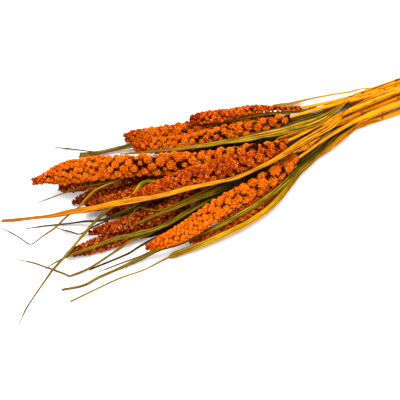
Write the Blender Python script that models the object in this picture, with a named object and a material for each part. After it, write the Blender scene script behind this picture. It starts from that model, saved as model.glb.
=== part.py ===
"""A dried bunch of foxtail millet, lying down: fourteen dyed heads on leafy stalks, held by one tie.

The bunch lies along X on the plane Z = 0, with the heads towards -X and the cut ends towards +X.
Each stalk and each leaf has a short route in plan, chosen by hand. Its height follows from the pile:
every piece is laid, in the order of PILE, on the surface and on what already lies under it.
"""
import math
import random

import bmesh
import bpy
import numpy as np
from mathutils import Vector

MM = 0.001

# Driving dimensions, in millimetres
STEP = 2.0             # distance between the samples of a route
CLEARANCE = 0.35       # kept between neighbours in the pile
TIE_X = 295.0          # where the tie holds the stalks
NECK_X = 238.0         # where the stalks run together
CUT_X = 430.0          # cut ends
NECK_SPREAD = 1.06     # sideways spread at the neck, as a share of the spread at the tie
CUT_SPREAD = 1.35      # and at the cut ends
PLACE_PITCH = 6.9      # sideways distance between stalks in the tie
ROW_Z = (4.0, 8.7, 13.4)       # heights of the three rows in the tie
CUT_RISE = (-1.1, 1.4, 4.1)    # how far each row sinks or rises from the tie to the cut ends
HELD = 10.0            # a stalk keeps its place this far from the middle of the tie
FREED = 60.0           # and leaves it over this much more
SHEATH_R = 2.9         # stalk wrapped in its leaf sheath
SHEATH_X = 190.0       # mouth of the sheaths
MOUTH = 8.0            # length over which a sheath opens
STEM_R = 2.0           # bare stem above the sheath
STEM_TOP_R = 1.4       # stem just under the head
STEM_TOP = 60.0        # length over which it narrows to that
JOINT_R = 3.5          # swollen joint of a stem
JOINT = 5.0            # half its length
JOINT_TO_CUT = (40.0, 75.0)    # its distance from the cut end
STEM_SIDES = 6
STEM_RING = 15.0       # distance between the rings of a stem
BLADE = 0.8            # thickness of a leaf blade
BLADE_RING = 13.0      # distance between the sections of a blade
BLADE_ROOT = 16.0      # length of a blade that is still inside its own stalk
BLADE_LIFT = 26.0      # length over which a blade rises from its root onto the pile
LUMP_PITCH = 9.6       # distance between the spikelet clusters of a head
NET_GIRTH = 0.86       # mean radius of the relief, as a share of the head's radius
PEAK = (0.93, 1.0)     # least and most radius of a cluster, as the same share
VALLEY = (0.70, 0.75)  # and between clusters
HEAD_GAP = 0.3         # between a head and the top of its stem
STALK_EASE, STALK_SLOPE = 40.0, 0.10    # a stalk bends over this length, and no steeper than this
LEAF_EASE, LEAF_SLOPE = 18.0, 0.25
TIE_GAP, TIE_THICK, TIE_WIDTH = 0.35, 1.3, 9.0
TIE_TURNS = 3
TIE_GROOVE = 0.6       # thickness of the tie between its turns, as a share of the most
TIE_SIDES = 28
SEED = 7

# Outline of a head, as shares of its length from the tip and of its largest radius
GIRTH = {
    "finger": [(0, 0.26), (0.03, 0.34), (0.05, 0.42), (0.08, 0.68), (0.12, 0.88), (0.18, 0.98), (0.3, 1.0),
               (0.5, 0.98), (0.6, 0.88), (0.7, 0.7), (0.8, 0.56), (0.9, 0.42), (1, 0.22)],
    "spindle": [(0, 0.22), (0.05, 0.5), (0.14, 0.74), (0.3, 0.95), (0.5, 1.0), (0.8, 0.92), (1, 0.66)],
    "blunt": [(0, 0.42), (0.04, 0.72), (0.12, 0.92), (0.35, 1.0), (0.7, 0.95), (0.9, 0.8), (1, 0.6)],
    "tailed": [(0, 0.5), (0.04, 0.7), (0.1, 0.86), (0.2, 0.95), (0.42, 0.76), (0.62, 0.6), (0.7, 0.42),
               (1, 0.28)],
}

# Half width of a leaf, as shares of its length from the root and of its largest half width
TAPER = {
    "blade": [(0, 0.7), (0.1, 0.9), (0.35, 1.0), (0.75, 0.7), (1, 0.22)],
    "torn": [(0, 0.7), (0.15, 0.9), (0.35, 1.0), (0.69, 1.0), (0.7, 0.18), (1, 0.12)],
    "broken": [(0, 0.6), (0.15, 0.8), (0.4, 1.0), (1, 0.9)],
    "strap": [(0, 0.85), (0.16, 1.0), (0.24, 0.78), (0.34, 0.54), (0.5, 0.57), (0.62, 0.68), (0.68, 0.78),
              (0.73, 0.93), (0.79, 0.92), (0.85, 0.76), (0.89, 0.5), (1, 0.43)],
    "fan": [(0, 0.45), (0.1, 0.6), (0.22, 1.0), (0.32, 0.9), (0.5, 0.6), (0.75, 0.45), (1, 0.15)],
    "late": [(0, 0.45), (0.5, 0.5), (0.68, 0.6), (0.8, 1.0), (0.92, 0.9), (1, 0.5)],
    "blunt_tip": [(0, 0.7), (0.1, 0.9), (0.35, 1.0), (0.7, 0.72), (0.85, 0.45), (1, 0.4)],
}

# Stalk: row and place in the tie, x of the head's base, its largest radius, its outline, its colour,
# and the route in plan from the head's tip to the neck
STALKS = {
    "near_low": (0, -2, 94, 6.2, "spindle", "red",
                 [(-25, -69), (11, -68), (49, -65), (80, -53), (110, -37), (135, -28),
                  (152, -24), (170, -18), (186, -13)]),
    "near_long": (0, -1, -10, 8.4, "spindle", "deep",
                  [(-142, -33), (-96, -36), (-39, -35), (5, -32), (100, -21), (180, -11)]),
    "core_low": (0, 0, 34, 7.8, "spindle", "deep",
                 [(-89, -6), (-55, -11), (-15, -14), (42, -11), (130, -6)]),
    "mid_pointed": (0, 1, -6, 7.2, "spindle", "deep",
                    [(-115, 20), (-75, 20), (-34, 15), (12, 13), (120, 7)]),
    "far_low": (0, 2, 115, 8.4, "blunt", "orange",
                [(-37, 70), (-3, 59), (38, 50), (79, 41), (115, 33), (180, 19)]),
    "near_mid": (1, -1.5, 92, 7.2, "spindle", "red",
                 [(2, -59), (31, -66), (81, -48), (130, -27), (185, -14)]),
    "near_slim": (1, -0.5, 12, 7.2, "spindle", "deep",
                  [(-116, -28), (-71, -33), (-40, -34), (5, -22), (100, -14), (180, -6)]),
    "mid_blunt": (1, 0.5, -12, 7.0, "blunt", "deep",
                  [(-107, 3), (-61, -3), (-20, 4), (24, 3), (130, 3)]),
    "far_tip": (1, 1.5, -18, 7.4, "blunt", "deep",
                [(-123, 33), (-92, 26), (-57, 17), (14, 27), (120, 16)]),
    "long_top": (2, 0, 106, 12.1, "finger", "bright",
                 [(-148, 40), (-103, 33), (-55, 17), (5, -3), (60, -10), (104, -15), (160, -6)]),
    "mid_top": (2, -1, 98, 10.0, "spindle", "red",
                [(-65, -19), (-35, -21), (3, -23), (51, -28), (77, -31), (100, -34), (170, -15)]),
    "near_top": (2, -2, 106, 9.8, "spindle", "bright",
                 [(-72, -70), (-31, -69), (18, -58), (57, -52), (93, -43), (110, -38), (150, -26),
                 (190, -18)]),
    "far_mid": (2, 1, 122, 8.6, "blunt", "orange",
                [(-38, 43), (2, 29), (23, 24), (55, 20), (88, 15), (134, 12), (180, 10)]),
    "far_top": (2, 2, 140, 7.2, "tailed", "red",
                [(30, 53), (68, 43), (94, 39), (134, 24), (190, 16)]),
}

# Leaf: the stalk it grows on, its largest half width, its taper and its route from root to tip
LEAVES = {
    "edge": ("near_low", 3.6, "torn",
             [(188, -15), (168, -21), (150, -27), (133, -31), (120, -37), (107, -43), (89, -55),
              (75, -63), (60, -69), (42, -74), (12, -77), (-24, -77), (-53, -74), (-77, -76), (-106, -75),
              (-158, -79)]),
    "under_near": ("near_low", 6.6, "blade",
                   [(178, -19), (150, -23), (119, -27), (90, -31), (60, -31), (30, -32), (2, -38),
                    (-20, -43), (-42, -44), (-58, -43), (-68, -42)]),
    "under_mid": ("core_low", 4.6, "broken",
                  [(190, -4), (175, -6), (140, -10), (105, -13), (75, -16), (52, -20), (36, -24),
                   (20, -28), (0, -30)]),
    "under_far": ("mid_pointed", 4.4, "broken",
                  [(200, 6), (165, 1), (87, 19), (65, 20), (44, 26), (29, 29), (14, 34)]),
    "gold_thin": ("near_long", 1.2, "blade",
                  [(130, -18), (60, -36), (0, -50), (-64, -60), (-104, -60), (-122, -60)]),
    "dark_thin": ("near_long", 1.9, "blunt_tip",
                  [(120, -19), (60, -33), (0, -44), (-71, -50), (-86, -53), (-128, -54)]),
    "near_folded": ("near_long", 1.8, "blade",
                    [(110, -20), (50, -32), (0, -43), (-34, -44), (-66, -47), (-77, -46), (-89, -49),
                     (-123, -54), (-150, -53), (-150, -51), (-175, -25), (-189, -14)]),
    "far_blunt": ("far_low", 3.0, "broken",
                  [(165, 22), (115, 22), (79, 28), (38, 36), (0, 47), (-34, 56), (-67, 66), (-88, 73)]),
    "far_thin": ("far_low", 1.0, "blade",
                 [(165, 22), (115, 20), (79, 26), (38, 35), (-2, 45), (-35, 57), (-65, 61), (-75, 69),
                  (-89, 80), (-107, 93)]),
    "left_thin": ("core_low", 1.8, "blade",
                  [(110, -7), (50, -16), (0, -17), (-60, -15), (-95, -13), (-116, -3), (-144, 8),
                   (-168, 15)]),
    "left_folded": ("core_low", 1.6, "blade",
                    [(120, -6), (60, -5), (0, -3), (-64, -20), (-78, -19), (-92, -18), (-106, -17),
                     (-116, -17), (-123, -17), (-129, -10), (-135, -4), (-140, 2)]),
    "near_over": ("near_slim", 3.2, "blade",
                  [(130, -11), (85, -19), (44, -33), (20, -34), (-8, -39), (-34, -44), (-56, -46),
                   (-95, -41), (-123, -40), (-153, -38), (-173, -40)]),
    "near_broad": ("near_slim", 3.8, "blade",
                   [(140, -10), (90, -16), (49, -30), (18, -34), (-10, -38), (-43, -40), (-77, -41)]),
    "far_under": ("far_tip", 1.8, "blade",
                  [(110, 17), (50, 22), (0, 20), (-20, 3), (-54, 12), (-79, 15), (-98, 20), (-125, 24),
                   (-152, 27)]),
    "left_long": ("mid_pointed", 1.6, "blade",
                  [(110, 8), (40, 10), (-20, 16), (-72, 12), (-94, 11), (-105, 7), (-118, 1), (-130, -1),
                   (-144, -6), (-158, -8), (-167, -10), (-172, -10), (-175, -5), (-181, 8), (-191, 25)]),
    "near_longest": ("mid_blunt", 2.2, "blade",
                     [(115, 3), (50, 1), (8, -1), (-21, -6), (-30, -4), (-45, 2), (-61, -8), (-76, -9),
                      (-86, -12), (-105, -18), (-124, -26), (-142, -36), (-166, -48), (-167, -49),
                      (-199, -69), (-213, -82)]),
    "near_kinked": ("near_mid", 2.9, "blunt_tip",
                    [(185, -14), (144, -28), (113, -42), (73, -61), (47, -68), (31, -71), (16, -73),
                     (-4, -73), (-22, -72), (-42, -70), (-61, -66), (-78, -66), (-102, -65), (-124, -66),
                     (-138, -68), (-161, -64)]),
    "short_near": ("near_mid", 4.0, "broken",
                   [(190, -13), (181, -17), (154, -20), (136, -28), (115, -36), (98, -40)]),
    "short_far": ("far_tip", 3.0, "broken",
                  [(205, 12), (181, 10), (137, 13), (99, 12), (80, 21)]),
    "zigzag": ("near_slim", 0.8, "blade",
               [(120, -12), (60, -22), (28, -29), (-3, -35), (-27, -37), (-44, -37), (-55, -31),
                (-61, -25), (-72, -31), (-84, -41)]),
    "between": ("far_mid", 5.6, "fan",
                [(188, 8), (168, -1), (139, -6), (107, -2), (83, 3), (50, 8), (14, 15), (-26, 28),
                 (-54, 41)]),
    "far_gap": ("far_low", 1.8, "blade",
                [(190, 17), (160, 24), (151, 22), (136, 24), (123, 27), (109, 31), (101, 33), (88, 36),
                 (75, 38), (59, 40), (36, 44)]),
    "far_edge": ("far_top", 2.4, "late",
                 [(227, 21), (210, 19), (195, 21), (181, 26), (167, 31), (155, 35), (144, 38), (132, 42),
                  (120, 47)]),
    "long_orange": ("mid_top", 4.2, "strap",
                    [(175, -15), (148, -26), (119, -33), (96, -39), (86, -41), (65, -43), (37, -41),
                     (10, -37), (-18, -34), (-46, -30), (-72, -23), (-89, -18), (-106, -13), (-123, -7),
                     (-148, 3), (-173, 15), (-190, 23)]),
}

# From the bottom of the pile to its top
PILE = ["near_low", "under_near", "edge", "core_low", "under_mid", "mid_pointed", "under_far",
        "near_long", "far_low", "far_blunt", "far_thin", "far_gap", "gold_thin", "dark_thin",
        "near_folded", "near_mid", "near_slim", "mid_blunt", "far_tip", "left_thin", "left_folded",
        "near_over", "near_broad", "zigzag", "far_under", "left_long", "near_longest", "near_kinked",
        "short_near", "short_far", "long_top", "far_mid", "near_top", "mid_top", "far_top", "between",
        "far_edge", "long_orange"]

# Colour and roughness of each dye
DYES = {
    "bright": ((0.80, 0.27, 0.03), 0.80),
    "orange": ((0.62, 0.19, 0.03), 0.82),
    "red": ((0.50, 0.11, 0.025), 0.84),
    "deep": ((0.33, 0.06, 0.02), 0.86),
    "straw": ((0.78, 0.42, 0.03), 0.55),
    "tie": ((0.52, 0.38, 0.20), 0.80),
}


def smooth_step(share):
    share = np.clip(share, 0, 1)
    return share * share * (3 - 2 * share)


def smooth_route(points):
    """A smooth curve in plan through the points, sampled every STEP, and the distance run along it."""
    p = np.array(points, float)
    t = np.concatenate([[0], np.cumsum(np.linalg.norm(np.diff(p, axis=0), axis=1))])
    slope = np.empty_like(p)
    slope[1:-1] = (p[2:] - p[:-2]) / (t[2:] - t[:-2])[:, None]
    slope[0] = (p[1] - p[0]) / (t[1] - t[0])
    slope[-1] = (p[-1] - p[-2]) / (t[-1] - t[-2])
    at = np.linspace(0, t[-1], int(4 * t[-1] / STEP))
    i = np.clip(np.searchsorted(t, at, side="right") - 1, 0, len(t) - 2)
    h = (t[i + 1] - t[i])[:, None]
    u = (at[:, None] - t[i][:, None]) / h
    fine = (2 * u**3 - 3 * u**2 + 1) * p[i] + (u**3 - 2 * u**2 + u) * h * slope[i]
    fine += (3 * u**2 - 2 * u**3) * p[i + 1] + (u**3 - u**2) * h * slope[i + 1]
    run = np.concatenate([[0], np.cumsum(np.linalg.norm(np.diff(fine, axis=0), axis=1))])
    want = np.linspace(0, run[-1], int(round(run[-1] / STEP)) + 1)
    plan = np.stack([np.interp(want, run, fine[:, k]) for k in (0, 1)], axis=1)
    return plan, want


def pile_height(piece, others):
    """The least height of each sample that clears the surface and the pieces already laid."""
    z = piece["r"].copy()
    for other in others:
        apart = np.linalg.norm(piece["plan"][:, None] - other["plan"][None], axis=2)
        apart = np.maximum(0, apart - piece["w"][:, None] - other["w"][None])
        reach = piece["r"][:, None] + other["r"][None] + CLEARANCE
        rise = np.sqrt(np.maximum(0, reach**2 - apart**2))
        z = np.maximum(z, np.where(apart < reach, other["z"][None] + rise, 0).max(axis=1))
    return z


def settle(want, ease, slope):
    """A smooth height that is nowhere under the wanted one and falls away no steeper than the slope."""
    k, n = int(ease / STEP), len(want)
    padded = np.pad(want, k, mode="edge")
    high = np.array([padded[i:i + 2 * k + 1].max() for i in range(n)])
    i = np.arange(n)
    cone = (high[None] - slope * STEP * np.abs(i[:, None] - i[None])).max(axis=1)
    padded = np.pad(cone, k, mode="edge")
    return np.array([padded[i:i + 2 * k + 1].mean() for i in range(n)])


def stalk_route(name):
    row, place, base_x, radius, outline, _, route = STALKS[name]
    y, slot_z = place * PLACE_PITCH, ROW_Z[row]
    plan, run = smooth_route(route + [(NECK_X, NECK_SPREAD * y), (TIE_X, y), (CUT_X, CUT_SPREAD * y)])
    x = plan[:, 0]
    base = float(np.interp(base_x, x, run))
    r = np.interp(x, [base_x, base_x + STEM_TOP, SHEATH_X, SHEATH_X + MOUTH],
                  [STEM_TOP_R, STEM_R, STEM_R, SHEATH_R])
    head = run <= base
    r[head] = radius * np.interp(run[head] / base, *zip(*GIRTH[outline]))
    return {"plan": plan, "run": run, "r": r, "w": np.zeros(len(run)), "base": base, "slot_z": slot_z,
            "cut_rise": CUT_RISE[row]}


def lay_stalk(name, laid):
    piece = stalk_route(name)
    from_tie = TIE_X - piece["plan"][:, 0]
    want = np.where(from_tie < HELD, piece["slot_z"], pile_height(piece, laid.values()))
    free = smooth_step((from_tie - HELD) / FREED)
    z = piece["slot_z"] + (settle(want, STALK_EASE, STALK_SLOPE) - piece["slot_z"]) * free
    beyond = np.clip(-from_tie / (CUT_X - TIE_X), 0, 1)
    piece["z"] = z + piece["cut_rise"] * beyond
    return piece


def lay_leaf(name, laid):
    host, width, taper, route = LEAVES[name]
    own = laid[host]
    root = np.argmin(np.linalg.norm(own["plan"] - route[0], axis=1))
    plan, run = smooth_route([tuple(own["plan"][root])] + route[1:])
    piece = {"plan": plan, "run": run}
    piece["w"] = width * np.interp(run / run[-1], *zip(*TAPER[taper]))
    piece["r"] = np.full(len(run), BLADE / 2)
    want = pile_height(piece, [other for key, other in laid.items() if key != host])
    want = np.where(run > BLADE_ROOT, np.maximum(want, pile_height(piece, [own])), want)
    root_z = own["z"][root]
    z = settle(want, LEAF_EASE, LEAF_SLOPE)
    piece["z"] = root_z + (z - root_z) * smooth_step(run / BLADE_LIFT)
    return piece


def lay_pile():
    laid = {}
    for name in PILE:
        laid[name] = lay_stalk(name, laid) if name in STALKS else lay_leaf(name, laid)
    return laid


def centre_line(piece, at):
    """Points at these distances along a piece, with the directions along, sideways and up."""
    line = np.column_stack([piece["plan"], piece["z"]])
    def place(s):
        return np.stack([np.interp(s, piece["run"], line[:, k]) for k in range(3)], axis=1)
    along = place(at + STEP) - place(at - STEP)
    along /= np.linalg.norm(along, axis=1)[:, None]
    side = np.cross((0, 0, 1), along)
    side /= np.linalg.norm(side, axis=1)[:, None]
    return place(at), along, side, np.cross(along, side)


def add_mesh(name, rings, dye, staggered=False):
    """A closed body from rings of points, each ring turned the same way, with its two ends filled."""
    mesh = bpy.data.meshes.new(name)
    build = bmesh.new()
    rows = [[build.verts.new(Vector(point) * MM) for point in ring] for ring in rings]
    for i, (this, following) in enumerate(zip(rows[:-1], rows[1:])):
        join_rows(build, this, following, back=staggered and i % 2 == 0)
    for row in (rows[0], rows[-1]):
        if len(row) > 1:
            bmesh.ops.triangulate(build, faces=[build.faces.new(row)])
    bmesh.ops.recalc_face_normals(build, faces=build.faces)
    build.to_mesh(mesh)
    build.free()
    mesh.materials.append(dyed(dye))
    obj = bpy.data.objects.new(name, mesh)
    bpy.context.scene.collection.objects.link(obj)
    return obj


def join_rows(build, this, following, back=False):
    """Triangles between two rows of points. They lean back where the second row is half a step ahead."""
    n = max(len(this), len(following))
    for j in range(n):
        a, b = this[j % len(this)], this[(j + 1) % len(this)]
        c, d = following[j % len(following)], following[(j + 1) % len(following)]
        for corners in (((a, b, c), (b, d, c)) if back else ((a, b, d), (a, d, c))):
            if len(set(corners)) == 3:
                build.faces.new(corners)


def dyed(dye):
    """The material of one dye, made once."""
    if dye not in bpy.data.materials:
        (red, green, blue), roughness = DYES[dye]
        material = bpy.data.materials.new(dye)
        material.use_nodes = True
        shader = material.node_tree.nodes["Principled BSDF"]
        shader.inputs["Base Color"].default_value = (red, green, blue, 1)
        shader.inputs["Roughness"].default_value = roughness
        shader.inputs["Metallic"].default_value = 0.0
    return bpy.data.materials[dye]


def add_head(name, piece):
    """A head: every third point of a triangular net round its core stands out as a spikelet cluster."""
    _, _, base_x, radius, outline, dye, _ = STALKS[name]
    draw = random.Random(SEED + len(name) * 31 + base_x)
    length = piece["base"] - HEAD_GAP
    rows = int(round(length / (LUMP_PITCH / 2)))
    columns = 3 * max(3, round(2 * math.pi * radius * NET_GIRTH / (LUMP_PITCH * math.sqrt(3))))
    at = np.linspace(0, length, rows + 1)
    centres, _, sides, ups = centre_line(piece, at)
    girths = radius * np.interp(at / piece["base"], *zip(*GIRTH[outline]))
    rings = []
    for i in range(1, rows + 1):
        ring = []
        for j in range(columns):
            peak = (j - i // 2 - i) % 3 == 0 and i < rows
            reach = draw.uniform(*(PEAK if peak else VALLEY))
            turn = 2 * math.pi * (j + 0.5 * (i % 2)) / columns
            point = centres[i] + girths[i] * reach * (math.cos(turn) * sides[i] + math.sin(turn) * ups[i])
            ring.append(on_surface(point))
        rings.append(ring)
    return add_mesh("head_" + name, [[centres[0]]] + rings, dye, staggered=True)


def on_surface(point):
    """What would reach under the surface is pressed flat on it."""
    return (point[0], point[1], max(point[2], 0.0))


def add_stem(name, piece):
    """A stem from under its head to its cut end, wider in its sheath, with one swollen joint."""
    start, end = piece["base"], piece["run"][-1]
    draw = random.Random(SEED + len(name) * 17)
    joint = end - draw.uniform(*JOINT_TO_CUT)
    mouth = float(np.interp(SHEATH_X, piece["plan"][:, 0], piece["run"]))
    keys = [mouth, mouth + MOUTH, joint - JOINT, joint, joint + JOINT]
    rings = np.linspace(start, end, int((end - start) / STEM_RING))
    at = np.array(sorted(keys + [s for s in rings if min(abs(s - key) for key in keys) > JOINT / 2]))
    radii = np.interp(at, piece["run"], piece["r"])
    radii[0] = STEM_TOP_R
    radii[np.isclose(at, joint)] = JOINT_R
    centres, _, sides, ups = centre_line(piece, at)
    turns = [2 * math.pi * (k + 0.5) / STEM_SIDES for k in range(STEM_SIDES)]
    body = [[on_surface(c + r * (math.cos(a) * s + math.sin(a) * u)) for a in turns]
            for c, r, s, u in zip(centres, radii, sides, ups)]
    return add_mesh("stalk_" + name, body, "straw")


def add_leaf(name, piece):
    """A blade of even thickness that starts inside its own stalk."""
    length = piece["run"][-1]
    at = np.linspace(0, length, max(6, int(length / BLADE_RING)))
    centres, _, sides, _ = centre_line(piece, at)
    widths = np.interp(at, piece["run"], piece["w"])
    up = np.array((0, 0, BLADE / 2))
    body = [[c - w * s - up, c + w * s - up, c + w * s + up, c - w * s + up]
            for c, w, s in zip(centres, widths, sides)]
    return add_mesh(name, body, "straw")


def join_leaves(stalk, leaves):
    """One body out of a stalk and the blades that grow on it."""
    if not leaves:
        return
    group = bpy.data.collections.new("blades")
    bpy.context.scene.collection.children.link(group)
    for leaf in leaves:
        bpy.context.scene.collection.objects.unlink(leaf)
        group.objects.link(leaf)
    union = stalk.modifiers.new("blades", "BOOLEAN")
    union.operation = "UNION"
    union.operand_type = "COLLECTION"
    union.collection = group
    union.solver = "EXACT"
    graph = bpy.context.evaluated_depsgraph_get()
    joined = bpy.data.meshes.new_from_object(stalk.evaluated_get(graph))
    stalk.modifiers.clear()
    stalk.data = joined
    for leaf in leaves:
        bpy.data.objects.remove(leaf)
    bpy.data.collections.remove(group)


def tie_outline(reach):
    """The outline, in the plane of the tie, at this distance round all the stalks."""
    stalks = [(place * PLACE_PITCH, ROW_Z[row]) for row, place, *_ in STALKS.values()]
    rim = []
    for k in range(TIE_SIDES):
        angle = 2 * math.pi * (k + 0.5) / TIE_SIDES
        way = np.array((math.cos(angle), math.sin(angle)))
        support = max(stalks, key=lambda p: p[0] * way[0] + p[1] * way[1])
        rim.append((support[0] + reach * way[0], max(support[1] + reach * way[1], 0.0)))
    return rim


def add_tie():
    """The tie: a band of turns round the stalks, ridged where each turn runs and pressed flat below."""
    inner = SHEATH_R + TIE_GAP
    profile = []
    for k in range(2 * TIE_TURNS + 1):
        x = TIE_X + TIE_WIDTH * (k / (2 * TIE_TURNS) - 0.5)
        profile.append((x, inner + TIE_THICK * (1.0 if k % 2 else TIE_GROOVE)))
    profile += [(TIE_X + TIE_WIDTH / 2, inner), (TIE_X - TIE_WIDTH / 2, inner)]
    loops = [[(x, y, z) for y, z in tie_outline(reach)] for x, reach in profile]
    mesh = bpy.data.meshes.new("tie")
    build = bmesh.new()
    rows = [[build.verts.new(Vector(point) * MM) for point in loop] for loop in loops]
    for k, row in enumerate(rows):
        join_rows(build, row, rows[(k + 1) % len(rows)])
    bmesh.ops.recalc_face_normals(build, faces=build.faces)
    build.to_mesh(mesh)
    build.free()
    mesh.materials.append(dyed("tie"))
    tie = bpy.data.objects.new("tie", mesh)
    bpy.context.scene.collection.objects.link(tie)
    return tie


def centre_on_origin(nodes):
    """Moves all the nodes alike, so that the origin is under the middle of the bunch."""
    points = np.array([v.co for obj in nodes for v in obj.data.vertices])
    middle = (points.min(axis=0) + points.max(axis=0)) / 2
    for obj in nodes:
        for vertex in obj.data.vertices:
            vertex.co.x -= middle[0]
            vertex.co.y -= middle[1]


def main():
    for obj in list(bpy.data.objects):
        bpy.data.objects.remove(obj)
    laid = lay_pile()
    nodes = [add_tie()]
    for name in STALKS:
        nodes.append(add_head(name, laid[name]))
        stem = add_stem(name, laid[name])
        grown = [key for key, leaf in LEAVES.items() if leaf[0] == name]
        join_leaves(stem, [add_leaf(key, laid[key]) for key in grown])
        nodes.append(stem)
    centre_on_origin(nodes)


main()
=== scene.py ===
"""The looks of a dried bunch of foxtail millet, on the solids that hold its shape.

The layout below is the solids' own, in millimetres: the bunch lies along X, the tie stands at TIE_X, and
each stalk and leaf has a short route in plan and a height that follows from the pile.
"""
import math
from functools import cache

import bpy
import numpy as np
from mathutils import Matrix, Vector


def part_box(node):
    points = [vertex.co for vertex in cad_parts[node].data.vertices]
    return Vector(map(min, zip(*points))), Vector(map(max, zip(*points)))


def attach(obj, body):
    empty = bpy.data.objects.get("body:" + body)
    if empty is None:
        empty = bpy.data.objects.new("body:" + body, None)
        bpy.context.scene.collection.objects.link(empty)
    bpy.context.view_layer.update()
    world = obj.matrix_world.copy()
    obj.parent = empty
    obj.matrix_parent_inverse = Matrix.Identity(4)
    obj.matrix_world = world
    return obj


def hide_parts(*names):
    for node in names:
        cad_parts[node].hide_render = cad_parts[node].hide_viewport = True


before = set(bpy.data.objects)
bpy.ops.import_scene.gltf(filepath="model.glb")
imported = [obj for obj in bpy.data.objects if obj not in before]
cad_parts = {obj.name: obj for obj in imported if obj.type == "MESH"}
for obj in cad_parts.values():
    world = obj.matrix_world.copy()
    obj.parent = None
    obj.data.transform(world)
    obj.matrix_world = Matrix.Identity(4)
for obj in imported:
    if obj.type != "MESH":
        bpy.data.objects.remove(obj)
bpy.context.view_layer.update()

MM = 0.001

# Layout of the bunch, in millimetres
STEP = 2.0  # distance between the samples of a route
FINER = 4  # samples of its first curve, for each STEP
CLEARANCE = 0.35  # kept between neighbours in the pile
TIE_X = 295.0  # where the tie holds the stalks
NECK_X = 238.0  # where the stalks run together
CUT_X = 430.0  # cut ends
NECK_SPREAD, CUT_SPREAD = 1.06, 1.35  # sideways spread there, as a share of that at the tie
PLACE_PITCH = 6.9  # sideways distance between stalks in the tie
ROW_Z = (4.0, 8.7, 13.4)  # heights of the three rows in the tie
CUT_RISE = (-1.1, 1.4, 4.1)  # how far each row rises or sinks to the cut ends
HELD = 10.0  # a stalk keeps its place this far from the tie
FREED = 60.0  # and leaves it over this much more
SHEATH_R = 2.9  # stalk wrapped in its leaf sheath
SHEATH_X, MOUTH = 190.0, 8.0  # mouth of the sheaths, and length over which they open
STEM_R, STEM_TOP_R = 2.0, 1.4  # bare stem above the sheath, and just under the head
STEM_TOP = 60.0  # length over which it narrows to that
JOINT_R = 3.5  # swollen joint of a stem
JOINT_TO_CUT = (40.0, 75.0)  # its distance from the cut end
BLADE = 0.8  # thickness of a leaf blade
BLADE_ROOT = 16.0  # length of a blade inside its own stalk
BLADE_LIFT = 26.0  # length over which it rises onto the pile
HEAD_GAP = 0.3  # between a head and the top of its stem
STALK_EASE, STALK_SLOPE = 40.0, 0.10  # a stalk bends over this length, and no steeper than this
LEAF_EASE, LEAF_SLOPE = 18.0, 0.25
TIE_GAP, TIE_WIDTH = 0.35, 9.0
SEED = 7

tie_low, tie_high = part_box("tie")
# From the layout to the frame, whose origin the solids put elsewhere
SHIFT = np.array([(tie_low[0] + tie_high[0]) / 2 / MM - TIE_X, (tie_low[1] + tie_high[1]) / 2 / MM, 0.0])

# Outline of a head, as shares of its length from the tip and of its largest radius
GIRTH = {
    "finger": [(0, 0.26), (0.03, 0.34), (0.05, 0.42), (0.08, 0.68), (0.12, 0.88), (0.18, 0.98), (0.3, 1.0),
               (0.5, 0.98), (0.6, 0.88), (0.7, 0.7), (0.8, 0.56), (0.9, 0.42), (1, 0.22)],
    "spindle": [(0, 0.22), (0.05, 0.5), (0.14, 0.74), (0.3, 0.95), (0.5, 1.0), (0.8, 0.92), (1, 0.66)],
    "blunt": [(0, 0.42), (0.04, 0.72), (0.12, 0.92), (0.35, 1.0), (0.7, 0.95), (0.9, 0.8), (1, 0.6)],
    "tailed": [(0, 0.5), (0.04, 0.7), (0.1, 0.86), (0.2, 0.95), (0.42, 0.76), (0.62, 0.6), (0.7, 0.42),
               (1, 0.28)],
}

# Half width of a leaf, as shares of its length from the root and of its largest half width
TAPER = {
    "blade": [(0, 0.7), (0.1, 0.9), (0.35, 1.0), (0.75, 0.7), (1, 0.22)],
    "torn": [(0, 0.7), (0.15, 0.9), (0.35, 1.0), (0.69, 1.0), (0.7, 0.18), (1, 0.12)],
    "broken": [(0, 0.6), (0.15, 0.8), (0.4, 1.0), (1, 0.9)],
    "strap": [(0, 0.85), (0.16, 1.0), (0.24, 0.78), (0.34, 0.54), (0.5, 0.57), (0.62, 0.68), (0.68, 0.78),
              (0.73, 0.93), (0.79, 0.92), (0.85, 0.76), (0.89, 0.5), (1, 0.43)],
    "fan": [(0, 0.45), (0.1, 0.6), (0.22, 1.0), (0.32, 0.9), (0.5, 0.6), (0.75, 0.45), (1, 0.15)],
    "late": [(0, 0.45), (0.5, 0.5), (0.68, 0.6), (0.8, 1.0), (0.92, 0.9), (1, 0.5)],
    "blunt_tip": [(0, 0.7), (0.1, 0.9), (0.35, 1.0), (0.7, 0.72), (0.85, 0.45), (1, 0.4)],
}

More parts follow.
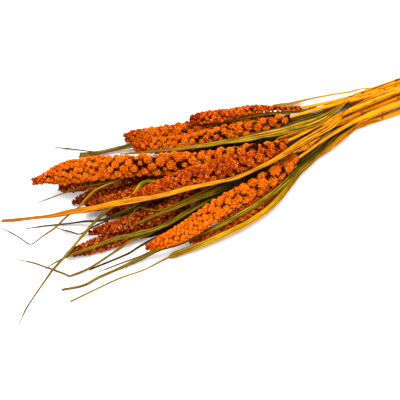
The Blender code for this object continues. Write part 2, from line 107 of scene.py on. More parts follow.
# Stalk: row and place in the tie, x of the head's base, its largest radius, its outline, its colour,
# and the route in plan from the head's tip to the neck
STALKS = {
    "near_low": (0, -2, 94, 6.2, "spindle", "red", [
        (-25, -69), (11, -68), (49, -65), (80, -53), (110, -37), (135, -28), (152, -24), (170, -18),
        (186, -13)]),
    "near_long": (0, -1, -10, 8.4, "spindle", "deep", [
        (-142, -33), (-96, -36), (-39, -35), (5, -32), (100, -21), (180, -11)]),
    "core_low": (0, 0, 34, 7.8, "spindle", "deep", [
        (-89, -6), (-55, -11), (-15, -14), (42, -11), (130, -6)]),
    "mid_pointed": (0, 1, -6, 7.2, "spindle", "deep", [
        (-115, 20), (-75, 20), (-34, 15), (12, 13), (120, 7)]),
    "far_low": (0, 2, 115, 8.4, "blunt", "orange", [
        (-37, 70), (-3, 59), (38, 50), (79, 41), (115, 33), (180, 19)]),
    "near_mid": (1, -1.5, 92, 7.2, "spindle", "red", [
        (2, -59), (31, -66), (81, -48), (130, -27), (185, -14)]),
    "near_slim": (1, -0.5, 12, 7.2, "spindle", "deep", [
        (-116, -28), (-71, -33), (-40, -34), (5, -22), (100, -14), (180, -6)]),
    "mid_blunt": (1, 0.5, -12, 7.0, "blunt", "deep", [
        (-107, 3), (-61, -3), (-20, 4), (24, 3), (130, 3)]),
    "far_tip": (1, 1.5, -18, 7.4, "blunt", "deep", [
        (-123, 33), (-92, 26), (-57, 17), (14, 27), (120, 16)]),
    "long_top": (2, 0, 106, 12.1, "finger", "bright", [
        (-148, 40), (-103, 33), (-55, 17), (5, -3), (60, -10), (104, -15), (160, -6)]),
    "mid_top": (2, -1, 98, 10.0, "spindle", "red", [
        (-65, -19), (-35, -21), (3, -23), (51, -28), (77, -31), (100, -34), (170, -15)]),
    "near_top": (2, -2, 106, 9.8, "spindle", "bright", [
        (-72, -70), (-31, -69), (18, -58), (57, -52), (93, -43), (110, -38), (150, -26), (190, -18)]),
    "far_mid": (2, 1, 122, 8.6, "blunt", "orange", [
        (-38, 43), (2, 29), (23, 24), (55, 20), (88, 15), (134, 12), (180, 10)]),
    "far_top": (2, 2, 140, 7.2, "tailed", "red", [
        (30, 53), (68, 43), (94, 39), (134, 24), (190, 16)]),
}

# Leaf: the stalk it grows on, its largest half width, its taper and its route from root to tip
LEAVES = {
    "edge": ("near_low", 3.6, "torn", [
        (188, -15), (168, -21), (150, -27), (133, -31), (120, -37), (107, -43), (89, -55), (75, -63),
        (60, -69), (42, -74), (12, -77), (-24, -77), (-53, -74), (-77, -76), (-106, -75), (-158, -79)]),
    "under_near": ("near_low", 6.6, "blade", [
        (178, -19), (150, -23), (119, -27), (90, -31), (60, -31), (30, -32), (2, -38), (-20, -43),
        (-42, -44), (-58, -43), (-68, -42)]),
    "under_mid": ("core_low", 4.6, "broken", [
        (190, -4), (175, -6), (140, -10), (105, -13), (75, -16), (52, -20), (36, -24), (20, -28),
        (0, -30)]),
    "under_far": ("mid_pointed", 4.4, "broken", [
        (200, 6), (165, 1), (87, 19), (65, 20), (44, 26), (29, 29), (14, 34)]),
    "gold_thin": ("near_long", 1.2, "blade", [
        (130, -18), (60, -36), (0, -50), (-64, -60), (-104, -60), (-122, -60)]),
    "dark_thin": ("near_long", 1.9, "blunt_tip", [
        (120, -19), (60, -33), (0, -44), (-71, -50), (-86, -53), (-128, -54)]),
    "near_folded": ("near_long", 1.8, "blade", [
        (110, -20), (50, -32), (0, -43), (-34, -44), (-66, -47), (-77, -46), (-89, -49), (-123, -54),
        (-150, -53), (-150, -51), (-175, -25), (-189, -14)]),
    "far_blunt": ("far_low", 3.0, "broken", [
        (165, 22), (115, 22), (79, 28), (38, 36), (0, 47), (-34, 56), (-67, 66), (-88, 73)]),
    "far_thin": ("far_low", 1.0, "blade", [
        (165, 22), (115, 20), (79, 26), (38, 35), (-2, 45), (-35, 57), (-65, 61), (-75, 69), (-89, 80),
        (-107, 93)]),
    "left_thin": ("core_low", 1.8, "blade", [
        (110, -7), (50, -16), (0, -17), (-60, -15), (-95, -13), (-116, -3), (-144, 8), (-168, 15)]),
    "left_folded": ("core_low", 1.6, "blade", [
        (120, -6), (60, -5), (0, -3), (-64, -20), (-78, -19), (-92, -18), (-106, -17), (-116, -17),
        (-123, -17), (-129, -10), (-135, -4), (-140, 2)]),
    "near_over": ("near_slim", 3.2, "blade", [
        (130, -11), (85, -19), (44, -33), (20, -34), (-8, -39), (-34, -44), (-56, -46), (-95, -41),
        (-123, -40), (-153, -38), (-173, -40)]),
    "near_broad": ("near_slim", 3.8, "blade", [
        (140, -10), (90, -16), (49, -30), (18, -34), (-10, -38), (-43, -40), (-77, -41)]),
    "far_under": ("far_tip", 1.8, "blade", [
        (110, 17), (50, 22), (0, 20), (-20, 3), (-54, 12), (-79, 15), (-98, 20), (-125, 24), (-152, 27)]),
    "left_long": ("mid_pointed", 1.6, "blade", [
        (110, 8), (40, 10), (-20, 16), (-72, 12), (-94, 11), (-105, 7), (-118, 1), (-130, -1), (-144, -6),
        (-158, -8), (-167, -10), (-172, -10), (-175, -5), (-181, 8), (-191, 25)]),
    "near_longest": ("mid_blunt", 2.2, "blade", [
        (115, 3), (50, 1), (8, -1), (-21, -6), (-30, -4), (-45, 2), (-61, -8), (-76, -9), (-86, -12),
        (-105, -18), (-124, -26), (-142, -36), (-166, -48), (-167, -49), (-199, -69), (-213, -82)]),
    "near_kinked": ("near_mid", 2.9, "blunt_tip", [
        (185, -14), (144, -28), (113, -42), (73, -61), (47, -68), (31, -71), (16, -73), (-4, -73),
        (-22, -72), (-42, -70), (-61, -66), (-78, -66), (-102, -65), (-124, -66), (-138, -68),
        (-161, -64)]),
    "short_near": ("near_mid", 4.0, "broken", [
        (190, -13), (181, -17), (154, -20), (136, -28), (115, -36), (98, -40)]),
    "short_far": ("far_tip", 3.0, "broken", [
        (205, 12), (181, 10), (137, 13), (99, 12), (80, 21)]),
    "zigzag": ("near_slim", 0.8, "blade", [
        (120, -12), (60, -22), (28, -29), (-3, -35), (-27, -37), (-44, -37), (-55, -31), (-61, -25),
        (-72, -31), (-84, -41)]),
    "between": ("far_mid", 5.6, "fan", [
        (188, 8), (168, -1), (139, -6), (107, -2), (83, 3), (50, 8), (14, 15), (-26, 28), (-54, 41)]),
    "far_gap": ("far_low", 1.8, "blade", [
        (190, 17), (160, 24), (151, 22), (136, 24), (123, 27), (109, 31), (101, 33), (88, 36), (75, 38),
        (59, 40), (36, 44)]),
    "far_edge": ("far_top", 2.4, "late", [
        (227, 21), (210, 19), (195, 21), (181, 26), (167, 31), (155, 35), (144, 38), (132, 42),
        (120, 47)]),
    "long_orange": ("mid_top", 4.2, "strap", [
        (175, -15), (148, -26), (119, -33), (96, -39), (86, -41), (65, -43), (37, -41), (10, -37),
        (-18, -34), (-46, -30), (-72, -23), (-89, -18), (-106, -13), (-123, -7), (-148, 3), (-173, 15),
        (-190, 23)]),
}

# From the bottom of the pile to its top
PILE = """
    near_low under_near edge core_low under_mid mid_pointed under_far near_long far_low far_blunt far_thin
    far_gap gold_thin dark_thin near_folded near_mid near_slim mid_blunt far_tip left_thin left_folded
    near_over near_broad zigzag far_under left_long near_longest near_kinked short_near short_far long_top
    far_mid near_top mid_top far_top between far_edge long_orange
""".split()


def smooth_step(share):
    share = np.clip(share, 0, 1)
    return share * share * (3 - 2 * share)


def unit(vectors):
    return vectors / np.linalg.norm(vectors, axis=-1, keepdims=True)


def run_along(line):
    """Distance run along a line to each of its points."""
    return np.concatenate([[0], np.cumsum(np.linalg.norm(np.diff(line, axis=0), axis=1))])


def points_at(want, run, line):
    """Points of a line at these distances along it."""
    return np.stack([np.interp(want, run, column) for column in line.T], axis=1)


def smooth_route(points):
    """A smooth curve in plan through the points, sampled every STEP, and the distance run along it."""
    p = np.array(points, float)
    t = run_along(p)
    slope = np.empty_like(p)
    slope[1:-1] = (p[2:] - p[:-2]) / (t[2:] - t[:-2])[:, None]
    slope[0] = (p[1] - p[0]) / (t[1] - t[0])
    slope[-1] = (p[-1] - p[-2]) / (t[-1] - t[-2])
    at = np.linspace(0, t[-1], int(FINER * t[-1] / STEP))
    i = np.clip(np.searchsorted(t, at, side="right") - 1, 0, len(t) - 2)
    h = (t[i + 1] - t[i])[:, None]
    u = (at[:, None] - t[i][:, None]) / h
    fine = (2 * u**3 - 3 * u**2 + 1) * p[i] + (u**3 - 2 * u**2 + u) * h * slope[i]
    fine += (3 * u**2 - 2 * u**3) * p[i + 1] + (u**3 - u**2) * h * slope[i + 1]
    run = run_along(fine)
    want = np.linspace(0, run[-1], int(round(run[-1] / STEP)) + 1)
    return points_at(want, run, fine), want


def pile_height(piece, others):
    """The least height of each sample that clears the surface and the pieces already laid."""
    z = piece["r"].copy()
    for other in others:
        apart = np.linalg.norm(piece["plan"][:, None] - other["plan"][None], axis=2)
        apart = np.maximum(0, apart - piece["w"][:, None] - other["w"][None])
        reach = piece["r"][:, None] + other["r"][None] + CLEARANCE
        rise = np.sqrt(np.maximum(0, reach**2 - apart**2))
        z = np.maximum(z, np.where(apart < reach, other["z"][None] + rise, 0).max(axis=1))
    return z


def settle(want, ease, slope):
    """A smooth height that is nowhere under the wanted one and falls away no steeper than the slope."""
    k, i = int(ease / STEP), np.arange(len(want))
    near = np.clip(i[:, None] + np.arange(-k, k + 1), 0, len(want) - 1)
    high = want[near].max(axis=1)
    cone = (high[None] - slope * STEP * np.abs(i[:, None] - i[None])).max(axis=1)
    return cone[near].mean(axis=1)


def lay_stalk(name, laid):
    """A stalk and its head: they follow what is under them, but for the stalk's own place in the tie."""
    row, place, base_x, radius, outline, _, route = STALKS[name]
    y, slot_z = place * PLACE_PITCH, ROW_Z[row]
    plan, run = smooth_route(route + [(NECK_X, NECK_SPREAD * y), (TIE_X, y), (CUT_X, CUT_SPREAD * y)])
    x = plan[:, 0]
    base = np.interp(base_x, x, run)
    r = np.interp(x, [base_x, base_x + STEM_TOP, SHEATH_X, SHEATH_X + MOUTH],
                  [STEM_TOP_R, STEM_R, STEM_R, SHEATH_R])
    head = run <= base
    r[head] = radius * np.interp(run[head] / base, *zip(*GIRTH[outline]))
    piece = {"plan": plan, "run": run, "r": r, "w": np.zeros(len(run)), "base": base}
    from_tie = TIE_X - x
    want = np.where(from_tie < HELD, slot_z, pile_height(piece, laid.values()))
    free = smooth_step((from_tie - HELD) / FREED)
    z = slot_z + (settle(want, STALK_EASE, STALK_SLOPE) - slot_z) * free
    piece["z"] = z + CUT_RISE[row] * np.clip(-from_tie / (CUT_X - TIE_X), 0, 1)
    return piece


def root_of(route, stalk):
    """The sample of a stalk at which a leaf with this route grows."""
    return np.argmin(np.linalg.norm(stalk["plan"] - route[0], axis=1))


def lay_leaf(name, laid):
    """A leaf on the pile: it rises from its own stalk, and clears that stalk too once it is out of it."""
    host, width, taper, route = LEAVES[name]
    own = laid[host]
    root = root_of(route, own)
    plan, run = smooth_route([tuple(own["plan"][root])] + route[1:])
    piece = {"plan": plan, "run": run}
    piece["w"] = width * np.interp(run / run[-1], *zip(*TAPER[taper]))
    piece["r"] = np.full(len(run), BLADE / 2)
    want = pile_height(piece, [other for key, other in laid.items() if key != host])
    want = np.where(run > BLADE_ROOT, np.maximum(want, pile_height(piece, [own])), want)
    root_z = own["z"][root]
    z = settle(want, LEAF_EASE, LEAF_SLOPE)
    piece["z"] = root_z + (z - root_z) * smooth_step(run / BLADE_LIFT)
    return piece


def lay_pile():
    laid = {}
    for name in PILE:
        laid[name] = lay_stalk(name, laid) if name in STALKS else lay_leaf(name, laid)
    return laid


LAID = lay_pile()


def centre_line(piece, at):
    """Points at these distances along a piece, with the directions along, sideways and up."""
    line = np.column_stack([piece["plan"], piece["z"]])
    before, here, after = (points_at(at + shift, piece["run"], line) for shift in (-STEP, 0, STEP))
    along = unit(after - before)
    side = unit(np.cross((0, 0, 1), along))
    return here, along, side, np.cross(along, side)


LOW = ((0.0, 0.5), 0.95, 2.60, 0.05, "deep")  # heads low in the pile, but for their pitches

# Looks of the heads, in millimetres: pitch of the grain clusters at the tip and at the base, the shares of
# the length between which it grows, the radius of a grain, the distance between grains, how loose the
# clusters sit at the base, and the colours
GRAIN = {
    "long_top": (3.8, 9.2, (0.0, 0.42), 0.92, 2.12, 0.16, "amber"),
    "near_top": (4.2, 12.2, (0.1, 0.95), 0.92, 2.12, 0.10, "bright"),
    "far_low": (6.0, 8.4, (0.0, 0.4), 0.95, 2.22, 0.05, "orange"),
    "far_mid": (5.2, 9.6, (0.0, 0.9), 0.95, 2.20, 0.16, "orange"),
    "mid_top": (4.4, 9.4, (0.2, 0.75), 0.95, 2.25, 0.12, "red"),
    "far_top": (5.0, 5.0, (0.0, 0.7), 0.92, 2.10, 0.10, "rust"),
    "near_low": (4.6, 5.8, (0.0, 0.5), 0.95, 2.50, 0.05, "rust"),
    "near_long": (4.4, 6.4, *LOW),
    "core_low": (4.6, 6.4, *LOW),
    "mid_pointed": (4.4, 6.0, *LOW),
    "near_mid": (4.6, 6.4, (0.0, 0.5), 0.95, 2.45, 0.05, "rust"),
    "near_slim": (4.4, 6.2, *LOW),
    "mid_blunt": (4.6, 6.2, *LOW),
    "far_tip": (4.6, 6.2, *LOW),
}
# Clusters that stayed small: from and to which share of the head, how many of them, and their size
HOLES = {"long_top": (0.36, 0.90, 0.20)}
STUNTED = 0.55
PROUD = 0.9  # grains stand this far out of a head's outline
CORE_GIRTH = 0.50  # radius of the core, which is painted dark as shade, as a share of the head's
CORE_STEP, CORE_SIDES = 5.0, 12
CLUSTER = 0.54  # radius of a cluster, as a share of the pitch
CLUSTER_CORE = 0.82  # radius of the ball inside it, which is painted dark as shade, as a share of its own
CLUSTER_SIZES = (0.80, 1.14)  # clusters differ this much in size
CLUSTER_REACH = (0.93, 1.03)  # and in how far out they stand, as a share of the head's radius
LEAST_OUT = 0.2  # but no middle of one is nearer to the middle of the head
TIP_IN, BASE_IN = 0.5, 1.0  # or to its tip and base
MOST_PITCH = 1.5  # largest pitch, as a share of the head's radius
PACKING = 0.82  # share of a square of the pitch that a cluster takes up
RING = (0.75, 0.35)  # depth of the ring they stand in, in their radii, and its least radius, in pitches
GOLDEN = 0.381966  # turn from one cluster to the next, up the spiral
GOLDEN_ANGLE = 2.39996  # the same from grain to grain, in radians
TURN_JITTER, PITCH_JITTER, GRAIN_JITTER = 0.03, 0.12, 0.10
FEWEST_GRAINS = 6
GRAIN_AREA = 0.87  # area of a grain, where they are 1 apart
GRAINS_TO = -0.30  # how far inwards a cluster has grains, as a share of its radius
SEATED = 0.55  # how deep a grain sits, as a share of its radius
BURIED = 0.80  # grains this near to another cluster's middle, in its radii, are left out
GRAIN_SIZES = (0.86, 1.14)
GRAIN_LENGTH = 1.22  # as a share of its width
LEAN = 0.28  # how far clusters and grains lean towards the tip
TONES = (0.17, 0.10)  # how much grains and clusters differ in tone
CORE_DEPTH = 0.20  # how deep the core looks, as for grains, which paints it dark as shade
BALL = (-0.15, 0.56)  # tone of the balls inside the clusters, and how deep they look, both set low to paint them dark as shade
BY_DEPTH, BY_FLANK, BY_TOP = 0.14, 0.62, 0.24  # what a grain's own depth for painted shade is made of: depth in the head, its cluster's flank, its underside
FLANK = (0.25, 0.85)  # painted shade on a cluster's flank: how much its flank counts, and how much more as it faces outwards

# Colours of the grains: in the shade, of most of them, and of the palest
GRAIN_COLOURS = {
    "bright": ((0.34, 0.034, 0.001), (0.68, 0.125, 0.003), (0.78, 0.20, 0.008)),
    "amber": ((0.32, 0.030, 0.001), (0.60, 0.108, 0.003), (0.72, 0.18, 0.009)),
    "orange": ((0.26, 0.022, 0.001), (0.55, 0.096, 0.003), (0.74, 0.18, 0.008)),
    "rust": ((0.18, 0.012, 0.001), (0.52, 0.070, 0.003), (0.74, 0.17, 0.010)),
    "red": ((0.13, 0.007, 0.001), (0.42, 0.054, 0.003), (0.72, 0.16, 0.010)),
    "deep": ((0.03, 0.001, 0.001), (0.31, 0.034, 0.003), (0.72, 0.18, 0.016)),
}
# Painted shade: colour of the crevices between grains and clusters, and of the core and inner balls
PAINTED_CREVICE_SHADE = (0.022, 0.0022, 0.0003)
SHADED = (0.010, 0.007, 0.0005)  # painted shade on blades where they come out from under the heads, and on the undersides of stems
SHEATHED = {"gold": (0.66, 0.22, 0.0004)}  # or from their sheaths, where these are in the light

# Colours of blades and stems: veins and worn edges, most of the blade, its palest stripes, and its tip
STRAW_COLOURS = {
    "orange": ((0.10, 0.03, 0.0003), (0.50, 0.160, 0.0004), (0.76, 0.34, 0.0015), (0.27, 0.062, 0.0002)),
    "gold": ((0.16, 0.06, 0.0005), (0.52, 0.25, 0.001), (0.70, 0.43, 0.004), (0.13, 0.078, 0.010)),
    "straw": ((0.045, 0.020, 0.0005), (0.26, 0.125, 0.001), (0.50, 0.30, 0.003), (0.09, 0.045, 0.005)),
    "olive": ((0.014, 0.009, 0.0005), (0.18, 0.108, 0.001), (0.46, 0.295, 0.003), (0.10, 0.055, 0.004)),
    "brown": ((0.012, 0.006, 0.0005), (0.065, 0.035, 0.002), (0.22, 0.13, 0.008), (0.05, 0.025, 0.004)),
    # Painted shade: dark olive and near black, for blades in the pile's shade and for dark fillers in its
    # gaps
    "painted_shade_olive": ((0.005, 0.003, 0.0005), (0.040, 0.025, 0.001), (0.24, 0.15, 0.003), (0.02, 0.010, 0.001)),
    "painted_shade_black": ((0.003, 0.002, 0.0005), (0.010, 0.007, 0.001), (0.05, 0.035, 0.002), (0.02, 0.01, 0.001)),
    "stem": ((0.10, 0.030, 0.0003), (0.74, 0.230, 0.0003), (0.86, 0.28, 0.0008), (0.16, 0.050, 0.003)),
}
STRAW_STOPS = {"stem": (0.02, 0.30, 0.85)}  # tones of the first three, where they are not the usual
USUAL_STOPS = (0.12, 0.46, 0.78)

# Looks of the leaves: colours, width as a share of the solid's, how far each half folds up, how far the
# blade rolls on its side at its root, middle and tip, all in degrees, and for some the share of its length
# from the root that has painted shade from the pile above it, or has its sheath's colour
BLADES = {
    "edge": ("gold", 1.0, 14, (-10, 12, -10), 0.15),
    # The three under_ blades are dark fillers in the gaps of the pile, coloured as painted shade
    "under_near": ("painted_shade_black", 1.1, 10, (0, 0, 0)),
    "under_mid": ("painted_shade_black", 2.2, 10, (0, 0, 0)),
    "under_far": ("painted_shade_black", 1.8, 10, (0, 0, 0)),
    "gold_thin": ("straw", 1.5, 14, (0, 10, 20), 0.5),
    "dark_thin": ("painted_shade_olive", 1.2, 10, (0, 5, 5)),
    "near_folded": ("straw", 1.2, 14, (10, 10, 20), 0.42),
    "far_blunt": ("olive", 1.1, 16, (10, 10, 0)),
    "far_thin": ("brown", 1.5, 14, (10, 10, 20)),
    "left_thin": ("brown", 1.2, 14, (0, 10, 20), 0.5),
    "left_folded": ("brown", 1.3, 14, (0, 10, 20), 0.74),
    "near_over": ("olive", 1.1, 16, (20, 8, 5), 0.32),
    "near_broad": ("olive", 1.25, 12, (20, 6, 10), 0.50),
    "far_under": ("olive", 1.1, 16, (0, 10, 20), 0.40),
    "left_long": ("straw", 1.1, 18, (10, 10, 20), 0.45),
    "near_longest": ("olive", 1.1, 16, (0, 8, 20), 0.24),
    "near_kinked": ("olive", 1.3, 18, (20, 10, 10)),
    "short_near": ("painted_shade_olive", 1.5, 20, (20, 10, 0)),
    "short_far": ("painted_shade_olive", 1.2, 20, (20, 0, 0)),
    "zigzag": ("straw", 1.1, 14, (0, 10, 20), 0.3),
    "between": ("straw", 1.0, 14, (10, -5, 10)),
    "far_gap": ("olive", 1.2, 20, (10, 10, 20)),
    "far_edge": ("gold", 1.3, 20, (10, 15, 20)),
    "long_orange": ("orange", 1.08, 10, (16, 4, 6)),
}
THIN, RIM = 0.42, 0.20  # thickness of a blade along its middle, and at its edges
CLASP = (62.0, 30.0)  # a blade folds up this far round its stalk, and opens over this length
COLUMNS, BLADE_STEP = 9, 3.5  # points across one face of a blade, and length between their rows
FINEST = 0.95  # least half width of a blade, but for the last of its tip
POINTED = ("blade", "fan")  # tapers that end in a point; the others are broken off
POINT = (0.04, 0.5)  # a point narrows over this share of the length, to this share of the width
BROKEN = (-2.5, 1.5)  # how uneven a broken end is
WIDE_WAVE, FINE_WAVE = (0.05, 9), (0.04, 4)  # waves in a blade's width: share of it, and mm for a radian
FOLD_WAVE, ROLL_WAVE = (0.35, 23), (8, 31)  # in its fold, as a share, and in its roll, in degrees
EDGE_WAVE = (0.12, 6)  # and in the height of its edges, as a share of its half width
CUPPED = 1.4  # power that shapes its section
ROLL_LIFT = 0.7  # how far a blade on its edge rises, as a share of its half width
OFF_FLOOR = 0.02  # least height of a blade
WORN_FROM = 0.50  # a blade is worn towards its tip from this share of its length
WORN_MOST = 0.85  # share of the tip's colour at the very tip
FROM_DARK = 0.12  # share of its length over which its painted shade fades out
SHADE_MOST = 0.92  # share of the painted shade's colour there

STEM_SIDES, STEM_STEP = 18, 3.0  # points round a stem, and length between its rings
STEM_IN_HEAD = 6.0  # how far a stem reaches into its head
UNEVEN_CUT = 9.0  # stems are cut off this unevenly
OWN_SHEATH = (0.35, 3.0)  # what a leaf's sheath adds to a stem's radius, and over what length
JOINT_SPREAD = 2.6  # length over which a stem's joint swells
JOINT_RINGS = (-4.0, -1.5, 1.5, 4.0)  # added rings, from its middle
LIP = 2.0  # length over which a sheath's seam starts
SEAM_TURN = 0.002  # most turns that a seam makes in a millimetre
SEAM_STEP, SEAM_LEVEL = 0.45, 0.6  # its height, and the turn from it to where the sheath adds nothing
RIB, RIBS = 0.025, 9  # height of a stem's ribs as a share of its radius, and their number
STEM_SHADE = 0.85  # how dark the painted shade on the underside of a stem is
STEM_LIT = 0.1  # height above which it has no painted shade, as a share of its radius
SCARS = 3  # scars on a stem, besides those at the roots of its leaves
SCARRED = (5.0, 110.0)  # they lie this far below the first mouth
SCAR = 1.2  # half the length of a scar
SCAR_SIDE = (0.65, 0.9)  # cosines of the angles from its middle at which it starts, and is full
SCAR_DARK = 0.9  # share of the tip's brown in it

CORD = 0.95  # radius of the tie's cord
CORD_TURNS, TURN_SAMPLES = 5, 90  # its turns, and the samples of each
CORD_WIDTH = 0.8  # width of its turns, as a share of the tie's
CORD_ENDS = ((1, 16.0), (-1, 13.0))  # side on which each end leaves the knot, and its length
PLY, OFF_MIDDLE = 0.6, 0.45  # a ply's radius and distance from the cord's middle, for a cord of 1
PLY_SIDES, TWIST = 8, 5.5  # points round a ply, and length of one twist

TIP_PART, TIP_DARK = 7.0, 0.40  # a head's first seventh is darker, this much at its tip
GRAIN_STOPS = (0.05, 0.45, 0.95)  # tones of a grain's three colours
VEINS, BEND_OF_VEINS = 9.0, 1.6  # how close the veins are, and how far the fibres bend them
BY_VEIN, BY_STREAK, BY_BLOTCH = 0.20, 1.3, 0.7  # how much of a blade's tone each makes
EDGE_POWER, EDGE_DARK = 7.0, 0.40  # how narrow and how dark its worn edges are
CORD_COLOURS = ((0.22, 0.13, 0.05), (0.50, 0.34, 0.16), (0.72, 0.55, 0.30))

ALONG_UNIT = 10.0  # millimetres for a unit of a field along a piece
FIELD_SPREAD = 100.0  # the noise of a piece starts within this length
FOR_HEAD, FOR_STEM, FOR_BLADE, FOR_SCARS = range(4)  # kinds of random numbers
PLACE, AXIS, (TONE, SHARE, OWNER, WAY_OUT) = slice(0, 3), slice(3, 6), range(6, 10)  # columns of a grain

# Camera, from the photograph's viewing angle
AZIMUTH, ELEVATION = math.radians(-24), math.radians(60)
DISTANCE = 1667.0
AIM = (0, -36, 20)
LENS, SENSOR = 150.0, 36.0

# Floor and lights, in metres and watts: each light's name, place, side and power
FLOOR_HALF, FLOOR_GAP = 8.0, 0.0002
FLOOR_COLOUR = (0.97, 0.97, 0.98)
WORLD_STRENGTH = 0.84
LIGHTS = (("key", (-0.15, -0.15, 1.7), 1.0, 45.0), ("fill", (1.2, -1.0, 1.4), 1.4, 12.0))


def icosahedron():
    """The corners and faces of a ball of unit radius, with a corner at each end of its axis."""
    belt, height = 2 / math.sqrt(5), 1 / math.sqrt(5)
    corners = [(0, 0, 1)]
    for turn, z in ((0, height), (0.5, -height)):
        for k in range(5):
            angle = 0.4 * math.pi * (k + turn)
            corners.append((belt * math.cos(angle), belt * math.sin(angle), z))
    corners.append((0, 0, -1))
    faces = []
    for k in range(5):
        after = (k + 1) % 5
        faces += [(0, 1 + k, 1 + after), (1 + k, 6 + k, 1 + after), (1 + after, 6 + k, 6 + after),
                  (6 + k, 11, 6 + after)]
    return np.array(corners), np.array(faces)


def frames(axes):
    """Two directions square to each axis, that make a right-handed frame with it."""
    helper = np.where(np.abs(axes[:, 2:3]) < 0.9, (0, 0, 1), (1, 0, 0))
    first = unit(np.cross(helper, axes))
    return first, np.cross(axes, first)


def seeded(kind, table, name):
    """Random numbers for one kind of thing on a piece, always the same."""
    return np.random.default_rng(SEED + kind + 100 * list(table).index(name))


def above(points, least=0.0):
    """The points, with none of them lower than this."""
    return np.maximum(points, (-np.inf, -np.inf, least))


def circles(centre, side, up, turns, radius):
    """A ring of points round each centre, at these angles from its side direction."""
    ways = np.cos(turns)[None, :, None] * side[:, None] + np.sin(turns)[None, :, None] * up[:, None]
    return centre[:, None] + radius * ways


def loft(rings):
    """Points and faces of a closed body from rings that turn about their direction of travel."""
    count, sides = rings.shape[:2]
    i, j = np.meshgrid(np.arange(count - 1) * sides, np.arange(sides), indexing="ij")
    after = (j + 1) % sides
    quads = np.stack([i + j, i + after, i + sides + after, i + sides + j], axis=-1).reshape(-1, 4)
    points = np.concatenate([rings.reshape(-1, 3), rings[:1].mean(axis=1), rings[-1:].mean(axis=1)])
    side = np.arange(sides)
    last = (count - 1) * sides
    ends = [np.stack([np.full(sides, count * sides), (side + 1) % sides, side], axis=1),
            np.stack([np.full(sides, count * sides + 1), last + side, last + (side + 1) % sides], axis=1)]
    return points, quads, np.concatenate(ends)


def add_object(name, data):
    obj = bpy.data.objects.new(name, data)
    bpy.context.scene.collection.objects.link(obj)
    return obj


def make_mesh(name, points, faces, field, material, node, sharp=None):
    """A piece that stands for a node: points in millimetres, faces of like size in each group, a field."""
    mesh = bpy.data.meshes.new(name)
    loops = np.concatenate([group.ravel() for group in faces])
    sizes = np.concatenate([np.full(len(group), group.shape[1]) for group in faces])
    starts = np.concatenate([[0], np.cumsum(sizes)[:-1]])
    mesh.vertices.add(len(points))
    mesh.vertices.foreach_set("co", ((points + SHIFT) * MM).astype(np.float32).ravel())
    mesh.loops.add(len(loops))
    mesh.loops.foreach_set("vertex_index", loops.astype(np.int32))
    mesh.polygons.add(len(sizes))
    mesh.polygons.foreach_set("loop_start", starts.astype(np.int32))
    mesh.update(calc_edges=True)
    mesh.validate()
    look = mesh.attributes.new("look", "FLOAT_VECTOR", "POINT")
    look.data.foreach_set("vector", field.astype(np.float32).ravel())
    mesh.shade_smooth()
    if sharp is not None:
        mesh.set_sharp_from_angle(angle=math.radians(sharp))
    mesh.materials.append(material)
    obj = add_object(name, mesh)
    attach(obj, "root")
    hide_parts(node)


def head_girth(name, at):
    """Radius of a head's outer surface at these distances from its tip."""
    _, _, _, radius, outline, _, _ = STALKS[name]
    return radius * np.interp(at / LAID[name]["base"], *zip(*GIRTH[outline])) + PROUD


def clusters(name, draw):
    """A head's clusters: centres, radii, ways out, ways along the head, and shares of its length."""
    fine, coarse, (start, reached), _, _, loose, _ = GRAIN[name]
    first, last, stunted = HOLES.get(name, (0, 0, 0))
    piece = LAID[name]
    length = piece["base"] - HEAD_GAP
    rows, at, turn = [], 0.0, draw.uniform(0, 1)
    while at < length:
        share = at / length
        girth = head_girth(name, at)
        pitch = fine + (coarse - fine) * smooth_step((share - start) / (reached - start))
        pitch = min(pitch, MOST_PITCH * girth)
        spread = 1 + loose * share
        radius = CLUSTER * pitch * draw.uniform(*CLUSTER_SIZES)
        out = max(girth * draw.uniform(*CLUSTER_REACH) - radius, LEAST_OUT)
        if first < share < last and draw.uniform(0, 1) < stunted:
            radius *= STUNTED
        angle = math.tau * (turn + draw.uniform(-TURN_JITTER, TURN_JITTER))
        place = at + pitch * draw.uniform(-PITCH_JITTER, PITCH_JITTER)
        rows.append((place, angle, out, radius / spread, share))
        turn += GOLDEN
        ring = max(girth - RING[0] * CLUSTER * pitch, RING[1] * pitch)
        at += PACKING * (pitch * spread) ** 2 / (math.tau * ring)
    at, angle, out, radius, share = np.array(rows).T
    centre, along, side, up = centre_line(piece, np.clip(at, TIP_IN, length - BASE_IN))
    round_about = np.cos(angle)[:, None] * side + np.sin(angle)[:, None] * up
    outward = unit(round_about - LEAN * along)
    return centre + out[:, None] * round_about, radius, outward, along, share


def grain_places(name, draw):
    """Grains on the outer side of every cluster, and the centres and radii of the clusters."""
    centre, radius, outward, along, share = clusters(name, draw)
    grain, apart = GRAIN[name][3:5]
    first, second = frames(outward)
    found = []
    for k in range(len(centre)):
        count = max(FEWEST_GRAINS, int(4 * math.pi * radius[k]**2 / (GRAIN_AREA * apart**2)))
        z = 1 - (2 * np.arange(count) + 1) / count
        z = z[z > GRAINS_TO]
        angle = GOLDEN_ANGLE * np.arange(len(z)) + draw.uniform(0, math.tau)
        flat = np.sqrt(1 - z**2)[:, None]
        way = flat * (np.cos(angle)[:, None] * first[k] + np.sin(angle)[:, None] * second[k])
        way = unit(way + z[:, None] * outward[k] + draw.normal(0, GRAIN_JITTER, way.shape))
        place = centre[k] + way * (radius[k] - SEATED * grain)
        tone = draw.normal(0, TONES[0], len(z)) + draw.normal(0, TONES[1])
        found.append(np.column_stack([place, way - LEAN * along[k], tone, np.full(len(z), share[k]),
                                      np.full(len(z), k), way @ outward[k]]))
    found = np.concatenate(found)
    nearest = np.full(len(found), np.inf)
    for k in range(len(centre)):
        inside = np.linalg.norm(found[:, PLACE] - centre[k], axis=1) / radius[k]
        nearest = np.where(found[:, OWNER] == k, nearest, np.minimum(nearest, inside))
    return found[nearest > BURIED], centre, radius


